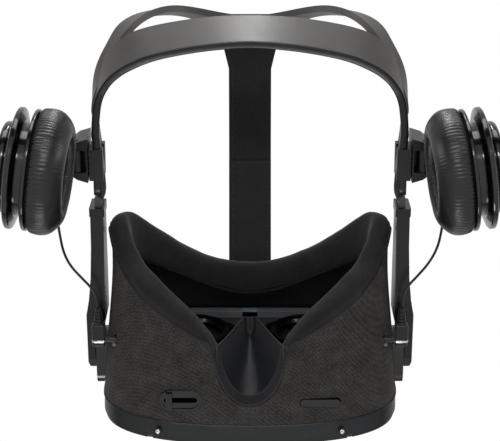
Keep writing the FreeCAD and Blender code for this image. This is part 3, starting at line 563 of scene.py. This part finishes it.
levels = [0.03 + 0.9 * step / 24 for step in range(25)] + [0.95, 0.965, 0.98, 0.99, 1.0]
points, faces = skin([flap_ring(0.0, 0.08)] + [flap_ring(level) for level in levels])
flap = mesh_piece("nose_flap_scoop", points, faces, NOSE_RUBBER, "visor")
flip_outward(flap)
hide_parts("nose_flap")
print("nose flap rings", len(levels) + 1)

# %% [markdown]
# ## The window between the lenses
# A smoked window sits in the grey bar over the nose, with a sensor behind it that tells when the
# headset is worn. In the bar's face it is a thin plate with a chamfer, so its edge shows. Under the bar
# it is a flat film.

# %% Sensor window
WINDOW_CORNERS = ((-1, -1), (1, -1), (1, 1), (-1, 1))
WINDOW_HALF_WIDTH = 4.6
UNDER_MIDDLE_Y = -45.4
UNDER_Z = 25.75
FACE_MIDDLE_Z = 29.2
under_rows = [[(sx * (WINDOW_HALF_WIDTH - shrink), UNDER_MIDDLE_Y + sy * (1.6 - shrink), UNDER_Z)
               for sx, sy in WINDOW_CORNERS] for shrink in (0.35, 0.0, 0.0)]
face_rows = [[(sx * (WINDOW_HALF_WIDTH - chamfer), y, FACE_MIDDLE_Z + sz * (2.9 - chamfer))
              for sx, sz in WINDOW_CORNERS] for y, chamfer in ((-43.75, 0.0), (-43.5, 0.0), (-43.35, 0.3))]
for word, rows in (("under", under_rows), ("face", face_rows)):
    window = mesh_piece("sensor_window_" + word, *skin(rows), SENSOR_GLASS, "visor", smooth=False)
    flip_outward(window)
    print("sensor window", word, len(rows), "rows")

# %% [markdown]
# ## The ear cushions
# Each cushion is a foam ring in imitation leather, gathered into a seam at the cup. The gathers are the
# short radial creases that fade before the crown. A revolved profile gives the ring, and each ring is
# pushed in and out by uneven creases that are strongest at the seam.

# %% Cup frame
CUP_CENTRE = Vector((123.7, 74.0, -54.0))
CUP_TURN = Vector((1, 0, 0)).rotation_difference(Vector((0.9917, 0.122, 0.042)))


def at_cup(point, side):
    """A point built on +X about the origin, placed at the left (1) or right (-1) cup."""
    place = CUP_CENTRE + CUP_TURN @ Vector(point)
    return (side * place.x, place.y, place.z)


# %% [markdown]
# The cushion's profile, from the seam over the crown into the hole, as depth along the axis and radius.

# %% Ear cushions
CUSHION_PROFILE = smooth_path([
    (-5.9, 31.0), (-5.75, 33.2), (-6.6, 34.4), (-9.2, 35.0), (-12.6, 35.1), (-16.2, 34.3), (-19.2, 32.2),
    (-21.8, 29.2), (-23.4, 26.2), (-23.8, 23.4), (-23.2, 21.0), (-21.4, 19.7), (-18.2, 19.4),
    (-13, 19.7), (-8.5, 20.4), (-5.9, 21.2)], 5, closed=True)
CREASES = 96
CUSHION_STEPS = 576


def cushion_ring(turn, side):
    """The profile at one angle, with the gathers and the slow lumps of stuffed leather."""
    ring = []
    spot = Vector((math.cos(turn), math.sin(turn), side))
    phase = CREASES * turn + 2.2 * noise.noise(spot * 5) + 1.2 * noise.noise(spot * 14)
    depth = 0.34 + 0.3 * noise.noise(spot * 6.3)
    reach = 5.5 + 3.0 * noise.noise(spot * 9.1)
    for x, radius in CUSHION_PROFILE:
        outside = radius > 27
        seam = math.exp(-max(0.0, -x - 6.6) / reach) if outside else 0.0
        inner = 0.35 * math.exp(-((radius - 21.5) / 3.0) ** 2) if x < -18 else 0.0
        lump = 0.22 * noise.noise(Vector((x / 7, radius * spot.x / 9, radius * spot.y / 9)))
        push = (seam + inner) * depth * (math.cos(phase) - 0.6) + lump
        way = Vector((x + 15.5, radius - 27.5)).normalized()
        x2, radius2 = x + way.x * push * 0.6, radius + way.y * push
        ring.append(at_cup((x2, radius2 * spot.x, radius2 * spot.y), side))
    return ring


for side, word in ((1, "left"), (-1, "right")):
    points, faces = skin([cushion_ring(2 * math.pi * step / CUSHION_STEPS, side)
                          for step in range(CUSHION_STEPS)], closed_path=True)
    cushion = mesh_piece("ear_cushion_cover_" + word, points, faces, CUSHION_LEATHER, "cup_" + word)
    flip_outward(cushion)
    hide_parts("ear_cushion_" + word)
print("cushion points", len(points))

# %% [markdown]
# ## The top strap
# Two lengths of woven elastic overlap at the crown of the head. The front one is anchored on the visor
# and the rear one widens where it folds round the band. Each is a strip of cross-sections with turned
# edges, and a row of stitches runs inside each edge.

# %% Strap lines
STRAP_FRONT_LINE = [(-51, 53.4), (-38, 56.0), (-23, 61.0), (0, 69.5), (20, 76.2), (38, 81.0)]
STRAP_REAR_LINE = [(22, 79.3), (38, 83.4), (63, 87.2), (92, 88.9), (108, 88.7), (117, 87.2),
                   (123, 84.2), (128.3, 78.4), (132.8, 73.0)]
STRAP_FLARE = ((-60, 13.4), (96, 13.4), (112, 17.2), (140, 17.2))
STRAP_STEPS = 32
STITCH_INSET = 2.4
STITCH_PITCH = 3.4
FIRST_STITCH = 2.0


def strap_half(y):
    """Half the strap's width at this distance back."""
    return along_line(STRAP_FLARE, y)


def strap_frames(line):
    """Place and upward direction of the strap's underside at close steps along it."""
    path = [Vector((0, y, z)) for y, z in smooth_path(line, 10)]
    frames = []
    for index, place in enumerate(path):
        run = (path[min(index + 1, len(path) - 1)] - path[max(index - 1, 0)]).normalized()
        frames.append((place, Vector((0, -run.z, run.y)), run))
    return frames


def strap_ring(place, up, half):
    """A flat section 2 mm thick with rolled edges and a slight trough at each stitch row."""
    ring = []
    for step in range(STRAP_STEPS + 1):
        share = -math.cos(math.pi * step / STRAP_STEPS)
        edge = (1 - abs(share) ** 14) ** (1 / 2.2)
        trough = 0.22 * math.exp(-((half * (1 - abs(share)) - STITCH_INSET) / 0.7) ** 2)
        ring.append((share * half, 1.0 + 0.95 * edge - trough))
    for step in range(STRAP_STEPS - 1, 0, -1):
        share = -math.cos(math.pi * step / STRAP_STEPS)
        ring.append((share * half, 1.0 - 0.95 * (1 - abs(share) ** 14) ** (1 / 2.2)))
    return [tuple(place + Vector((x, 0, 0)) + up * height) for x, height in ring]


# %% [markdown]
# Each stitch is a short rounded bar of thread that dips into the cloth at both ends.


# %% Strap meshes
def stitch_rows(frames):
    """Bars of thread along both edges, on both faces of the strap."""
    points, faces = [], []
    travelled, due = 0.0, FIRST_STITCH
    for (before, up, run), (after, _, _) in zip(frames, frames[1:]):
        travelled += (after - before).length
        if travelled < due:
            continue
        due += STITCH_PITCH
        for side in (-1, 1):
            for face, height in ((1, 1.78), (-1, 0.2)):
                middle = before + Vector((side * (strap_half(before.y) - STITCH_INSET), 0, 0)) + up * height
                rows = [[tuple(middle + run * along + Vector((wide * turn.x, 0, 0))
                               + up * face * (turn.y * wide + sink))
                         for turn in [Vector((math.cos(a), math.sin(a)))
                                      for a in [math.pi * part / 3 for part in range(6)]]]
                        for along, wide, sink in ((-1.25, 0.12, -0.2), (-0.8, 0.25, 0.05),
                                                  (0.8, 0.25, 0.05), (1.25, 0.12, -0.2))]
                bar_points, bar_faces = skin(rows)
                start = len(points)
                points += bar_points
                faces += [tuple(start + corner for corner in bar_face) for bar_face in bar_faces]
    return points, faces


for word, line, bodies, start, end in (
        ("front", STRAP_FRONT_LINE, ("visor", "arms"), (0, -0.05, 0.053), (0, 0.038, 0.081)),
        ("rear", STRAP_REAR_LINE, ("arms", "band"), (0, 0.022, 0.079), (0, 0.13, 0.078))):
    frames = strap_frames(line)
    rings = [strap_ring(place, up, strap_half(place.y)) for place, up, _ in frames]
    strap = mesh_piece("top_strap_cloth_" + word, *skin(rings), STRAP_WEB)
    stitches = mesh_piece("top_strap_stitches_" + word, *stitch_rows(frames), STRAP_THREAD)
    for piece in (strap, stitches):
        flip_outward(piece)
        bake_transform(piece)
    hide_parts("top_strap_" + word)
    strap_length = sum((after[0] - before[0]).length for before, after in zip(frames, frames[1:]))
    print("strap", word, "length", round(strap_length, 1), "mm")

# %% [markdown]
# ## Painted shade on the band's edge
# The band is a grey soft-touch moulding. Its lower edge faces down, away from the lights, and lies in shade.
# A rounded black strip that follows the edge paints that shade on.

# %% Band edge, painted shade
BAND_EDGE = [((89.2, 44, -7.3), (0, 0, 1)), ((89.2, 74, -7.3), (0, 0, 1)), ((89.6, 82, -7.0), (0.04, 0, 1)),
             ((87.6, 99, -6.6), (0.15, 0.13, 1)), ((82.8, 109.6, -8.8), (0.22, 0.17, 1)),
             ((76.2, 116.6, -10.4), (0.2, 0.31, 1)), ((67.6, 121.9, -11.4), (0.14, 0.4, 1)),
             ((55, 127.2, -12.6), (0.11, 0.38, 1)), ((38, 131.2, -13.4), (0.05, 0.35, 1)),
             ((19, 134, -13.9), (0.02, 0.34, 1)), ((0, 135.2, -14), (0, 0.325, 1))]
edge_line = BAND_EDGE + [((-x, y, z), (-u, v, w)) for (x, y, z), (u, v, w) in reversed(BAND_EDGE[:-1])]
edge_path = smooth_path([place + up for place, up in edge_line], 6)
SHADE_STRIP_HALF_THICK = 2.3
SHADE_STRIP_HALF_HEIGHT = 1.1
SHADE_STRIP_SIDES = 20
edge_shade_rings = []
for index, entry in enumerate(edge_path):
    place, up = Vector(entry[:3]), Vector(entry[3:]).normalized()
    ahead, behind = edge_path[min(index + 1, len(edge_path) - 1)], edge_path[max(index - 1, 0)]
    out = up.cross((Vector(ahead[:3]) - Vector(behind[:3])).normalized()).normalized()
    edge_shade_rings.append([tuple(place + out * SHADE_STRIP_HALF_THICK * squared_off(math.cos(turn), 0.5)
                            + up * (0.1 + SHADE_STRIP_HALF_HEIGHT * squared_off(math.sin(turn), 0.6)))
                      for turn in [2 * math.pi * part / SHADE_STRIP_SIDES for part in range(SHADE_STRIP_SIDES)]])
# A black strip along the band's lower edge: painted shade.
band_edge_shade = mesh_piece("rear_band_edge_shade", *skin(edge_shade_rings), BLACK_ABS_SHADE_GROOVE_SEATS, "band")
flip_outward(band_edge_shade)
print("band rim sections", len(edge_shade_rings))

# %% [markdown]
# ## Seams and screws of the front
# The wrap ends in a narrow black groove at the rim, and its own seam runs along the middle of the
# underside. Two small countersunk screws sit in dark seats in the rim below, one on each side.

# %% Groove and seam
NEARLY_BACK = Vector((0.02, 0.999, 0.01))
GROOVE_HALF_WIDTH = 88.35
GROOVE_HALF_HEIGHT = 50.75
GROOVE_Y = -84.6
FRONT_CURVE_RADIUS = 600
CORNER_POWER = 2 / 3.6


def tube_through(name, places, radius, finish, closed=False):
    """A thin round bead through places given in millimetres."""
    rings = []
    for index, place in enumerate(places):
        place = Vector(place)
        ahead = Vector(places[(index + 1) % len(places) if closed else min(index + 1, len(places) - 1)])
        behind = Vector(places[index - 1 if closed or index else 0])
        way = (ahead - behind).normalized()
        across = Vector((0, 0, 1)) if abs(way.y) > 0.8 else NEARLY_BACK
        side = way.cross(across).normalized()
        rings.append(round_section(place, side, way.cross(side), radius))
    bead = mesh_piece(name, *skin(rings, closed_path=closed), finish, "visor")
    flip_outward(bead)


groove = []
for step in range(160):
    turn = 2 * math.pi * step / 160
    x = GROOVE_HALF_WIDTH * squared_off(math.cos(turn), CORNER_POWER)
    z = GROOVE_HALF_HEIGHT * squared_off(math.sin(turn), CORNER_POWER)
    groove.append((x, GROOVE_Y + FRONT_CURVE_RADIUS - math.sqrt(FRONT_CURVE_RADIUS ** 2 - x ** 2), z))
tube_through("rim_groove", groove, 0.55, BLACK_ABS_SHADE_GROOVE_SEATS, closed=True)
tube_through("wrap_seam", [(0, -84.0 + 1.3 * step, -50.75 + 0.045 * step) for step in range(10)], 0.3,
             FOAM_WELT)
print("groove points", len(groove))

# %% [markdown]
# A screw is a turned profile: a domed head with a round socket, over its dark seat.

# %% Rim screws
for side, word in ((1, "left"), (-1, "right")):
    centre = Vector((side * 54.2, -88.2, -50.55))
    for label, profile, finish, sides in (
            ("seat", ((0.02, 0.0), (1.9, 0.0), (2.1, 0.12), (2.1, 0.4), (0.02, 0.4)), BLACK_ABS_SHADE_GROOVE_SEATS, 32),
            ("head", ((0.02, -0.1), (0.55, -0.1), (0.62, -0.32), (1.0, -0.3), (1.35, -0.16), (1.4, 0.1),
                      (0.02, 0.1)), BRIGHT_PLATE, 30)):
        rings = [[tuple(centre + Vector((radius * math.cos(turn), radius * math.sin(turn), height)))
                  for radius, height in profile]
                 for turn in [2 * math.pi * step / sides for step in range(sides)]]
        screw = mesh_piece(f"rim_screw_{label}_{word}", *skin(rings, closed_path=True), finish, "visor")
        flip_outward(screw)
print("rim screws at", tuple(round(abs(value), 1) for value in centre), "mm either side")

# %% [markdown]
# ## The bright line on each plug
# The moulded plug body has a thin plated ring let into it, a shallow closed strip just proud of the
# moulding. It is the one bright line on the side of the visor.

# %% Plug rings
PLUG_X = 89.3
PLUG_Z = -26.0


def rounded_loop(y, half_x, half_z, radius):
    """Points of a rounded rectangle about the plug's middle at this depth."""
    loop = []
    for quarter, (sx, sz) in enumerate(((1, 1), (-1, 1), (-1, -1), (1, -1))):
        for part in range(6):
            turn = math.radians(90 * quarter + 18 * part)
            loop.append((PLUG_X + sx * (half_x - radius) + radius * math.cos(turn), y,
                         PLUG_Z + sz * (half_z - radius) + radius * math.sin(turn)))
    return loop


for side, word in ((1, "left"), (-1, "right")):
    sections = [rounded_loop(y, 3.9 + lift, 3.6 + lift, 1.5) for y, lift in (
        (-40.9, -0.1), (-40.75, 0.14), (-39.55, 0.14), (-39.4, -0.1))]
    sections = [[(side * x, y, z) for x, y, z in section] for section in sections]
    ring = mesh_piece("plug_ring_" + word, *skin(sections), BRIGHT_PLATE, "visor")
    flip_outward(ring)
    print("plug ring", word, len(sections), "sections")

# %% [markdown]
# ## The thin leads
# A lead this thin is limp: it leaves the plug straight, sags, then rises behind the cushion to the cup.
# It crosses three moving joints, and it is cut into three equal lengths in a row.

# %% Leads
LEAD_DIAMETER = 1.5
LEAD_ROUTES = {
    "left": [(89.3, -20.0, -26.0), (89.5, -12.5, -26.6), (92.8, -6.0, -28.3), (98.6, 0.6, -28.6),
             (104.6, 6.4, -26.0), (109.0, 13.0, -21.0), (111.4, 21.4, -15.0), (113.0, 29.5, -10.5),
             (115.6, 37.2, -7.6), (118.6, 44.2, -8.2), (120.4, 50.0, -13.0), (120.4, 55.3, -22.1)],
    "right": [(-89.3, -20.0, -26.0), (-89.4, -12.0, -26.6), (-92.2, -5.0, -28.3), (-97.8, 1.6, -28.8),
              (-104.2, 8.6, -26.6), (-109.4, 16.0, -21.5), (-112.0, 23.4, -15.0), (-113.4, 31.0, -10.6),
              (-115.8, 38.2, -7.8), (-118.8, 44.8, -8.6), (-120.4, 50.0, -13.0), (-120.4, 55.3, -22.1)]}
LEAD_SPANS = (("visor", "arms"), ("arms", "band"), ("band", "cup_"))


def nurbs_line(route):
    """Points along the smooth curve that has the route as its control points, in metres."""
    data = bpy.data.curves.new("route", "CURVE")
    data.dimensions = "3D"
    spline = data.splines.new("NURBS")
    spline.points.add(len(route) - 1)
    for point, place in zip(spline.points, route):
        point.co = (place[0] * MM, place[1] * MM, place[2] * MM, 1.0)
    spline.order_u = 3
    spline.use_endpoint_u = True
    spline.resolution_u = 10
    holder = bpy.data.objects.new("route", data)
    SCENE.collection.objects.link(holder)
    bpy.context.view_layer.update()
    line = [vertex.co.copy() for vertex in bpy.data.meshes.new_from_object(holder).vertices]
    bpy.data.objects.remove(holder)
    return line


def tube_rings(line, radius, sides=16):
    """Rings in millimetres round a line in metres, without twist."""
    rings = []
    side = Vector((0, 0, 1)).cross(line[1] - line[0]).normalized()
    for index, point in enumerate(line):
        way = (line[min(index + 1, len(line) - 1)] - line[max(index - 1, 0)]).normalized()
        side = (side - way * side.dot(way)).normalized()
        rings.append(round_section(point / MM, side, way.cross(side), radius, sides))
    return rings


def line_length(line):
    """The length of a line of points."""
    return sum((b - a).length for a, b in zip(line, line[1:]))


def cut_line(line, parts):
    """Splits a line into equal lengths that share their end points."""
    goal = line_length(line) / parts
    pieces, current, run = [], [line[0]], 0.0
    for a, b in zip(line, line[1:]):
        current.append(b)
        run += (b - a).length
        if run >= goal and len(pieces) < parts - 1:
            pieces.append(current)
            current, run = [b], 0.0
    pieces.append(current)
    return pieces


for word, route in LEAD_ROUTES.items():
    whole = nurbs_line(route)
    print("lead", word, "length", round(line_length(whole) / MM, 1), "mm")
    for number, (line, span) in enumerate(zip(cut_line(whole, 3), LEAD_SPANS)):
        points, faces = skin(tube_rings(line, LEAD_DIAMETER / 2))
        piece = mesh_piece(f"lead_{word}_{number + 1}", points, faces, LEAD_RUBBER)
        flip_outward(piece)
        target = span[1] + word if span[1] == "cup_" else span[1]
        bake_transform(piece)
        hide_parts("lead_" + word)

# %% [markdown]
# ## Floor and lights
# A white studio backdrop behind the headset, and dark space on the viewer's side. That gives polished
# parts bright edges and black middles. Soft boxes add the highlights. The floor lies well below.

# %% Floor and lights
FLOOR_HALF = 6000
FLOOR_Z = -1400
DARK_SIDE = 0.035
BRIGHT_SIDE = 0.6
floor_points = [(sx * FLOOR_HALF, sy * FLOOR_HALF, FLOOR_Z)
                for sx, sy in ((-1, -1), (1, -1), (1, 1), (-1, 1))]
paper_finish, paper_tree, paper_shader, paper_place = start_finish("studio_paper", 0.9)
mottle(paper_tree, paper_shader, paper_place, "#f4f4f4", "#fafafa", 900.0)
floor = mesh_piece("floor", floor_points, [(0, 1, 2, 3)], paper_finish, smooth=False)

world = bpy.data.worlds.new("studio")
world.use_nodes = True
sky = world.node_tree
seen = sky.nodes["Background"]
seen.inputs["Color"].default_value = (1.0, 1.0, 1.0, 1.0)
seen.inputs["Strength"].default_value = 1.0
toward = add(sky, "ShaderNodeVectorMath", {"operation": "DOT_PRODUCT", 1: tuple(view_way)},
             {0: add(sky, "ShaderNodeTexCoord").outputs["Generated"]})
glow = add(sky, "ShaderNodeMapRange", {"interpolation_type": "SMOOTHSTEP", "From Min": -0.1,
                                       "From Max": 0.75, "To Min": DARK_SIDE, "To Max": BRIGHT_SIDE},
           {"Value": toward.outputs["Value"]})
around = add(sky, "ShaderNodeBackground", {"Color": (1.0, 1.0, 1.0, 1.0)},
             {"Strength": glow.outputs["Result"]})
ray = add(sky, "ShaderNodeLightPath")
mixed = add(sky, "ShaderNodeMixShader", links={
    0: ray.outputs["Is Camera Ray"], 1: around.outputs[0], 2: seen.outputs[0]})
sky.links.new(mixed.outputs[0], sky.nodes["World Output"].inputs["Surface"])
SCENE.world = world


def soft_box(name, place, target, size, power):
    """A rectangular lamp at a place, turned to a target."""
    data = bpy.data.lights.new(name, "AREA")
    data.shape = "RECTANGLE"
    data.size, data.size_y = size
    data.energy = power
    lamp = bpy.data.objects.new(name, data)
    lamp.location = place
    lamp.rotation_euler = (Vector(target) - Vector(place)).to_track_quat("-Z", "Y").to_euler()
    SCENE.collection.objects.link(lamp)


for name, place, target, size, power in (
        ("behind", (0.0, 1.15, 0.3), (0, 0.05, 0), (1.2, 0.5), 5.5),
        ("crown", (0.0, 0.85, 0.62), (0, 0.14, 0), (0.1, 0.3), 1.6),
        ("below", (0.1, -1.1, -0.55), (0, -0.05, -0.02), (0.5, 0.3), 2.6),
        ("near", (0.0, 0.75, -0.7), (0, 0, 0), (0.3, 0.12), 2.0),
        ("left", (1.0, 0.3, 0.1), (0.05, 0.05, -0.03), (0.3, 0.5), 1.4),
        ("right", (-1.0, 0.3, 0.1), (-0.05, 0.05, -0.03), (0.3, 0.5), 1.4)):
    soft_box(name, place, target, size, power)
print("soft boxes:", len(bpy.data.lights))
